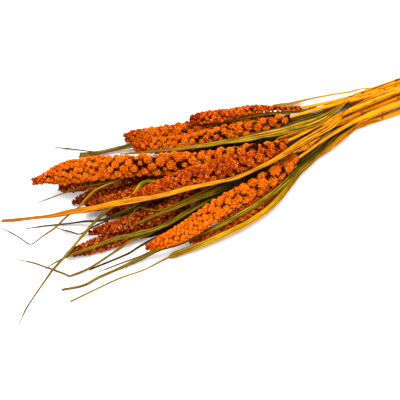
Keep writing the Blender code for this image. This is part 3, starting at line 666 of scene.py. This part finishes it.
def add_head(name):
    """A head: a core and balls inside its clusters, painted dark as shade, and grains all round them with
    painted shade.
    """
    draw = seeded(FOR_HEAD, STALKS, name)
    piece = LAID[name]
    length = piece["base"] - HEAD_GAP
    grains, cluster_at, cluster_radius = grain_places(name, draw)
    axis, share = unit(grains[:, AXIS]), grains[:, SHARE]
    ball, faces = icosahedron()
    size = GRAIN[name][3] * draw.uniform(*GRAIN_SIZES, len(grains))
    turned = ball * (1, 1, GRAIN_LENGTH) @ np.stack([*frames(axis), axis], axis=1)
    points = above(grains[:, None, PLACE] + size[:, None, None] * turned)
    # Painted shade: grains darker deep in the head, on their cluster's flank and on their own undersides
    from_axis = np.linalg.norm(points - centre_line(piece, share * length)[0][:, None], axis=2)
    painted_shade_depth = np.clip(from_axis / head_girth(name, share * length)[:, None], 0, 1)
    top = 0.5 + 0.5 * ball[None, :, 2]
    flank = np.clip(FLANK[0] + FLANK[1] * grains[:, WAY_OUT], 0, 1)[:, None]
    painted_shade_depth = BY_DEPTH * painted_shade_depth + BY_FLANK * flank + BY_TOP * top
    field = np.stack(np.broadcast_arrays(grains[:, TONE, None], painted_shade_depth, share[:, None]), axis=-1)

    core_at = np.linspace(TIP_IN, length, int(length / CORE_STEP))
    centre, _, side, up = centre_line(piece, core_at)
    turns = np.linspace(0, math.tau, CORE_SIDES, endpoint=False)
    girth = CORE_GIRTH * head_girth(name, core_at)[:, None, None]
    core, quads, ends = loft(circles(centre, side, up, turns, girth))
    inner = above(cluster_at[:, None] + CLUSTER_CORE * cluster_radius[:, None, None] * ball[None])
    balls = np.concatenate([inner.reshape(-1, 3), points.reshape(-1, 3)])
    starts = len(core) + len(ball) * np.arange(len(balls) // len(ball))
    triangles = (faces[None] + starts[:, None, None]).reshape(-1, 3)
    # Painted shade: the core and the inner balls are dark
    fields = [np.tile((0.0, CORE_DEPTH, 0.5), (len(core), 1)),
              np.tile((*BALL, 0.5), (inner.size // 3, 1)), field.reshape(-1, 3)]
    make_mesh("grains_" + name, np.concatenate([core, balls]), [quads, np.concatenate([ends, triangles])],
              np.concatenate(fields), grain_material(GRAIN[name][-1]),
              "head_" + name)


def rings_field(across, at, wear_and_painted_shade=0, offset=0, last=0):
    """The field of a body's rings and of the middles of its two ends: across, along, and wear with painted
    shade.
    """
    field = np.stack(np.broadcast_arrays(across, at[:, None] / ALONG_UNIT + offset, wear_and_painted_shade), axis=-1)
    return np.concatenate([field.reshape(-1, 3), [(0, offset, 0), (0, offset, last)]])


def stem_radius(piece, mouths, at):
    """Radius along a stalk: a little more below the mouth of each leaf's own sheath."""
    radius = np.interp(at, piece["run"], piece["r"])
    for mouth in mouths:
        radius = radius + OWN_SHEATH[0] * smooth_step((at - mouth) / OWN_SHEATH[1]) * (radius < SHEATH_R)
    return radius


def add_stem(name):
    """A stalk: bare stem, sheaths with a seam that laps over itself, a swollen joint and a cut end."""
    draw = seeded(FOR_STEM, STALKS, name)
    scar_draw = seeded(FOR_SCARS, STALKS, name)
    piece = LAID[name]
    start, end = piece["base"] - STEM_IN_HEAD, piece["run"][-1] - draw.uniform(0, UNEVEN_CUT)
    mouth = np.interp(SHEATH_X, piece["plan"][:, 0], piece["run"])
    roots = [piece["run"][root_of(route, piece)]
             for host, _, _, route in LEAVES.values() if host == name]
    joint = end - draw.uniform(*JOINT_TO_CUT)
    scars = np.array([*roots, *(mouth + scar_draw.uniform(*SCARRED, SCARS))])
    at = np.unique(np.concatenate([np.arange(start, end, STEM_STEP), [mouth, mouth + LIP, end],
                                   joint + np.array(JOINT_RINGS), scars - SCAR, scars, scars + SCAR]))
    radius = stem_radius(piece, roots, at)
    radius[at < piece["base"] + 0.5] = STEM_TOP_R
    radius += (JOINT_R - SHEATH_R) * np.exp(-((at - joint) / JOINT_SPREAD)**2)
    share = np.arange(STEM_SIDES) / STEM_SIDES
    turns = math.tau * (share + draw.uniform(0, 1))
    sheathed = smooth_step((at - mouth) / LIP)[:, None]
    seam = draw.uniform(0, 1) + SEAM_TURN * (at - mouth) * draw.uniform(-1, 1)
    lap = (share[None] - seam[:, None]) % 1.0
    ribs = RIB * np.cos(math.tau * RIBS * share)[None]
    wall = radius[:, None] * (1 + ribs) + sheathed * SEAM_STEP * (lap - SEAM_LEVEL)
    centre, _, side, up = centre_line(piece, at)
    points, quads, ends = loft(above(circles(centre, side, up, turns, wall[:, :, None])))
    facing = scar_draw.uniform(0, math.pi, len(scars))
    rows = np.exp(-((at[:, None] - scars[None]) / SCAR)**2)
    sides = np.interp(np.cos(turns[None] - facing[:, None]), SCAR_SIDE, (0, 1))
    scarred = SCAR_DARK * np.clip(rows @ sides, 0, 1)
    # Painted shade on the underside of the stem
    painted_shade_or_sheath = STEM_SHADE * np.clip(STEM_LIT - np.sin(turns), 0, 1)
    offset = FIELD_SPREAD * draw.uniform(0, 1)
    field = rings_field(np.abs(2 * lap - 1), at, scarred - painted_shade_or_sheath, offset, 1)
    make_mesh("stem_" + name, points, [quads, ends], field, straw_material("stem"),
              "stalk_" + name, sharp=50)


def ripple(draw, at, wave, phase=6):
    """A wave of this size along a piece, this long for a radian, which starts anywhere."""
    size, length = wave
    return size * np.sin(at / length + draw.uniform(0, phase))


def add_blade(name):
    """A leaf: a thin ribbed blade that clasps its stalk, opens, rolls and narrows to its tip."""
    host, _, taper, _ = LEAVES[name]
    colours, wider, fold, rolls, *painted_shade_or_sheath_until = BLADES[name]
    draw = seeded(FOR_BLADE, LEAVES, name)
    piece = LAID[name]
    length = piece["run"][-1]
    at = np.linspace(0, length, int(length / BLADE_STEP))
    share = at / length
    centre, along, side, up = centre_line(piece, at)
    half = wider * np.interp(at, piece["run"], piece["w"])
    half *= 1 + ripple(draw, at, WIDE_WAVE) + ripple(draw, at, FINE_WAVE)
    half = np.maximum(half, FINEST)
    if taper in POINTED:
        half *= np.clip((1 - share) / POINT[0], POINT[1], 1)
    half = half[:, None]
    folded = np.radians(fold + (CLASP[0] - fold) * (1 - smooth_step(at / CLASP[1])))
    folded = (folded * (1 + ripple(draw, at, FOLD_WAVE)))[:, None]
    roll = np.radians(np.interp(share, (0, 0.5, 1), rolls) + ripple(draw, at, ROLL_WAVE))
    cos, sin = np.cos(roll)[:, None], np.sin(roll)[:, None]
    across = np.linspace(-1, 1, COLUMNS)
    flat = across[None] * np.cos(folded) * half
    rise = np.abs(across)[None] ** CUPPED * np.sin(folded) * half
    rise += half * ripple(draw, at, EDGE_WAVE, 9)[:, None] * across[None] ** 2
    sideways = (flat * cos - rise * sin)[:, :, None]
    upwards = (flat * sin + rise * cos + half * np.abs(sin) * ROLL_LIFT)[:, :, None]
    middle = centre[:, None] + sideways * side[:, None] + upwards * up[:, None]
    if taper not in POINTED:
        middle[-1] += along[-1] * draw.uniform(*BROKEN, COLUMNS)[:, None]
    thick = ((RIM + (THIN - RIM) * (1 - across**2)) / 2)[None, :, None]
    square = -sin[:, :, None] * side[:, None] + cos[:, :, None] * up[:, None]
    rings = np.concatenate([middle - thick * square, (middle + thick * square)[:, ::-1]], axis=1)
    points, quads, ends = loft(above(rings, OFF_FLOOR))
    wear_and_painted_shade = np.maximum(share - WORN_FROM, 0) / (1 - WORN_FROM) * WORN_MOST
    # Painted shade towards the root, where the blade lies under the pile; the edge blade takes its
    # sheath's colour there
    if painted_shade_or_sheath_until:
        wear_and_painted_shade = wear_and_painted_shade - 1 + smooth_step((share - painted_shade_or_sheath_until[0]) / FROM_DARK)
    offset = FIELD_SPREAD * draw.uniform(0, 1)
    field = rings_field(np.concatenate([across, across[::-1]]), at, wear_and_painted_shade[:, None], offset, WORN_MOST)
    make_mesh("leaf_" + name, points, [quads, ends], field, straw_material(colours),
              "stalk_" + host, sharp=60)


def smooth_line(line, times):
    """The line with its corners taken off."""
    for _ in range(times):
        inside = (line[:-2] + 2 * line[1:-1] + line[2:]) / 4
        line = np.concatenate([line[:1], inside, line[-1:]])
    return line


def ply(line, phase):
    """Rings of one ply, which winds round the cord's line."""
    first, second = frames(unit(np.gradient(line, axis=0)))
    twist = phase + math.tau * run_along(line) / TWIST
    centre = line + OFF_MIDDLE * CORD * (np.cos(twist)[:, None] * first + np.sin(twist)[:, None] * second)
    turns = np.linspace(0, math.tau, PLY_SIDES, endpoint=False)
    return circles(centre, first, second, turns, PLY * CORD)


def add_tie():
    """The tie: a two-ply cord wound round the stalks, with a knot on top and two short ends."""
    stalks = [(place * PLACE_PITCH, ROW_Z[row]) for row, place, *_ in STALKS.values()]
    out = SHEATH_R + TIE_GAP + CORD
    path = []
    for k in range(CORD_TURNS * TURN_SAMPLES + 1):
        angle = math.tau * (k / TURN_SAMPLES)
        way = (math.cos(angle), math.sin(angle))
        y, z = max((p[0] * way[0] + p[1] * way[1], p) for p in stalks)[1]
        x = TIE_X + TIE_WIDTH * (k / (CORD_TURNS * TURN_SAMPLES) - 0.5) * CORD_WIDTH
        path.append((x, y + out * way[0], max(z + out * way[1], CORD)))
    lines = [smooth_line(np.array(path), 3)]
    top = lines[0][:, 2].max()
    for way, reach in CORD_ENDS:
        knot = [(-2, -4, 0.2), (2, -2, 1.8), (3, 1, 2.2), (0, 3, 1.2), (-3, 1, 2.4), (-1, -2, 3.0),
                (3, -3 - 3 * way, 2.4), (6, -3 - reach / 2, 1.8), (8, -3 - reach, 0.2)]
        knot = np.array(knot) * (way, 1, 1) + (TIE_X, 0, top)
        run = run_along(knot)
        lines.append(smooth_line(points_at(np.linspace(0, run[-1], 60), run, knot), 2))
    plies = [ply(line, phase) for line in lines for phase in (0, math.pi)]
    points, quads, ends = zip(*map(loft, plies))
    starts = np.cumsum([0, *map(len, points)])
    faces = [np.concatenate([part + start for part, start in zip(group, starts)])
             for group in (quads, ends)]
    field = [rings_field(np.linspace(-1, 1, PLY_SIDES), np.arange(len(rings))) for rings in plies]
    make_mesh("tie_cord", np.concatenate(points), faces, np.concatenate(field), cord_material(),
              "tie")


class Nodes:
    """A material's node tree, with short calls for the nodes that these materials use."""

    def __init__(self, name):
        self.material = bpy.data.materials.new(name)
        self.material.use_nodes = True
        self.tree = self.material.node_tree

    def put(self, socket, value):
        """Give an input a colour or a number, or link it to the output of another node."""
        if isinstance(value, tuple):
            socket.default_value = (*value, 1)
        elif isinstance(value, (int, float)):
            socket.default_value = value
        else:
            self.tree.links.new(value, socket)

    def add(self, kind, inputs=(), **settings):
        node = self.tree.nodes.new("ShaderNode" + kind)
        for key, value in settings.items():
            setattr(node, key, value)
        for key, value in dict(inputs).items():
            self.put(node.inputs[key], value)
        return node

    def look(self):
        """The mesh's own field, as three separate values."""
        field = self.add("Attribute", attribute_name="look")
        return self.add("SeparateXYZ", {0: field.outputs["Vector"]}).outputs

    def math(self, operation, *values):
        return self.add("Math", enumerate(values), operation=operation).outputs[0]

    def mix(self, share, a, b):
        return self.add("Mix", {0: share, 6: a, 7: b}, data_type="RGBA").outputs[2]

    def ramp(self, value, places, colours):
        """Colours at places from 0 to 1."""
        node = self.add("ValToRGB", {0: value})
        elements = node.color_ramp.elements
        while len(elements) < len(places):
            elements.new(0.5)
        for element, place, colour in zip(elements, places, colours):
            element.position = place
            element.color = (*colour, 1)
        return node.outputs[0]

    def noise(self, vector, scale, detail):
        inputs = {"Vector": vector, "Scale": scale, "Detail": detail}
        return self.add("TexNoise", inputs).outputs[0]

    def drawn_out(self, across, along, wide, long, third, scale, detail):
        """Noise that is so fine across the piece, and so fine along it."""
        spot = (self.math("MULTIPLY", across, wide), self.math("MULTIPLY", along, long), third)
        return self.noise(self.add("CombineXYZ", enumerate(spot)).outputs[0], scale, detail)

    def surface(self, colour, roughness, specular=0.5, bump=None):
        """Colour and finish, with bumps from a height, a strength and a distance."""
        looks = {"Base Color": colour, "Roughness": roughness, "Specular IOR Level": specular}
        if bump:
            node = self.add("Bump", zip(("Height", "Strength", "Distance"), bump))
            looks["Normal"] = node.outputs[0]
        for key, value in looks.items():
            self.put(self.tree.nodes["Principled BSDF"].inputs[key], value)
        return self.material


@cache
def grain_material(dye):
    """Dyed grain: each grain has its own tone, with painted shade where it sits in a crevice, and a fine
    mottle.
    """
    made = Nodes("millet_" + dye)
    tone, painted_shade_depth, share = made.look()
    mottle = made.noise(made.add("TexCoord").outputs["Object"], scale=900.0, detail=2.0)
    tone = made.math("ADD", tone, made.math("MULTIPLY_ADD", mottle, 0.5, 0.25))
    tip = made.math("SUBTRACT", 1.0, made.math("MULTIPLY", share, TIP_PART))
    tone = made.math("SUBTRACT", tone, made.math("MULTIPLY", made.math("MAXIMUM", tip, 0.0), TIP_DARK))
    colour = made.ramp(tone, GRAIN_STOPS, GRAIN_COLOURS[dye])
    # Painted shade: mixes towards the crevice colour where the field is deep
    out = made.ramp(painted_shade_depth, (0.30, 0.46, 0.66), ((0, 0, 0), (0.55, 0.55, 0.55), (1, 1, 1)))
    return made.surface(made.mix(out, PAINTED_CREVICE_SHADE, colour), 0.85, 0.0, (mottle, 0.25, 0.0003))


@cache
def straw_material(colours):
    """Dry blade or stem: fibres and veins run along it, its edges and tip are worn darker, with painted
    shade at roots and undersides.
    """
    made = Nodes("straw_" + colours)
    across, along, wear_and_painted_shade = made.look()
    *tones, tip = STRAW_COLOURS[colours]
    slow = made.math("MULTIPLY", along, 0.1)
    streak = made.drawn_out(across, along, wide=2.2, long=0.12, third=1.0, scale=1.6, detail=3.0)
    fibre = made.drawn_out(across, along, wide=8.0, long=0.35, third=slow, scale=1.6, detail=4.0)
    blotch = made.drawn_out(across, along, wide=1.0, long=0.8, third=3.0, scale=0.9, detail=3.0)
    bent = made.math("MULTIPLY_ADD", fibre, BEND_OF_VEINS, made.math("MULTIPLY", across, VEINS))
    vein = made.math("SINE", bent)
    tone = made.math("MULTIPLY_ADD", vein, BY_VEIN, made.math("MULTIPLY_ADD", fibre, 0.5, 0.25))
    for noise, share in ((streak, BY_STREAK), (blotch, BY_BLOTCH)):
        tone = made.math("MULTIPLY_ADD", made.math("SUBTRACT", noise, 0.5), share, tone)
    edge = made.math("POWER", made.math("ABSOLUTE", across), EDGE_POWER)
    tone = made.math("SUBTRACT", tone, made.math("MULTIPLY", edge, EDGE_DARK))
    off_line = made.math("ABSOLUTE", made.math("SUBTRACT", streak, 0.5))
    line = made.ramp(off_line, (0.010, 0.035), ((0.4, 0.4, 0.4), (0, 0, 0)))
    tone = made.math("SUBTRACT", tone, line)
    colour = made.ramp(tone, STRAW_STOPS.get(colours, USUAL_STOPS), tones)
    colour = made.mix(made.math("MAXIMUM", wear_and_painted_shade, 0.0), colour, tip)
    # Painted shade: blade roots under the pile and stem undersides go towards the shade colour, or the
    # sheath's
    painted_shade_or_sheath = made.math("MULTIPLY", made.math("MINIMUM", wear_and_painted_shade, 0.0), -SHADE_MOST)
    colour = made.mix(painted_shade_or_sheath, colour, SHEATHED.get(colours, SHADED))
    height = made.math("MULTIPLY_ADD", vein, 0.3, fibre)
    return made.surface(colour, 0.55, 0.06, (height, 0.5, 0.0003))


def cord_material():
    """Plant fibre cord."""
    made = Nodes("tie_fibre")
    across, along, _ = made.look()
    fibre = made.drawn_out(across, along, wide=5.0, long=1.0, third=0.0, scale=3.0, detail=4.0)
    return made.surface(made.ramp(fibre, (0.25, 0.5, 0.8), CORD_COLOURS), 0.85, bump=(fibre, 0.6, 0.0004))


def add_camera():
    back = Vector((math.sin(AZIMUTH) * math.cos(ELEVATION), -math.cos(AZIMUTH) * math.cos(ELEVATION),
                   math.sin(ELEVATION)))
    right = Vector((math.cos(AZIMUTH), math.sin(AZIMUTH), 0))
    camera = add_object("camera", bpy.data.cameras.new("camera"))
    camera.data.lens = LENS
    camera.data.sensor_width = SENSOR
    camera.data.clip_start = 0.05
    place = Vector((np.array(AIM) + SHIFT) * MM) + back * DISTANCE * MM
    turn = Matrix((right, back.cross(right), back)).transposed()
    camera.matrix_world = Matrix.Translation(place) @ turn.to_4x4()
    bpy.context.scene.camera = camera


def add_floor():
    mesh = bpy.data.meshes.new("floor")
    corners = [(x * FLOOR_HALF, y * FLOOR_HALF, 0) for x, y in ((-1, -1), (1, -1), (1, 1), (-1, 1))]
    mesh.from_pydata(corners, [], [(0, 1, 2, 3)])
    floor = add_object("floor", mesh)
    floor.location.z = -FLOOR_GAP
    mesh.materials.append(Nodes("floor").surface(FLOOR_COLOUR, 0.9))


def add_light(name, place, size, power):
    """A soft box that faces the bunch."""
    data = bpy.data.lights.new(name, "AREA")
    data.size = size
    data.energy = power
    light = add_object(name, data)
    light.location = place
    light.rotation_mode = "QUATERNION"
    light.rotation_quaternion = Vector(place).to_track_quat("Z", "Y")


def add_world():
    world = bpy.data.worlds.new("studio")
    world.use_nodes = True
    background = world.node_tree.nodes["Background"]
    background.inputs["Color"].default_value = (1, 1, 1, 1)
    background.inputs["Strength"].default_value = WORLD_STRENGTH
    bpy.context.scene.world = world


add_camera()
add_floor()
add_world()
for light in LIGHTS:
    add_light(*light)
bpy.context.scene.view_settings.view_transform = "Standard"

for name in STALKS:
    add_head(name)
    add_stem(name)
for name in LEAVES:
    add_blade(name)
add_tie()
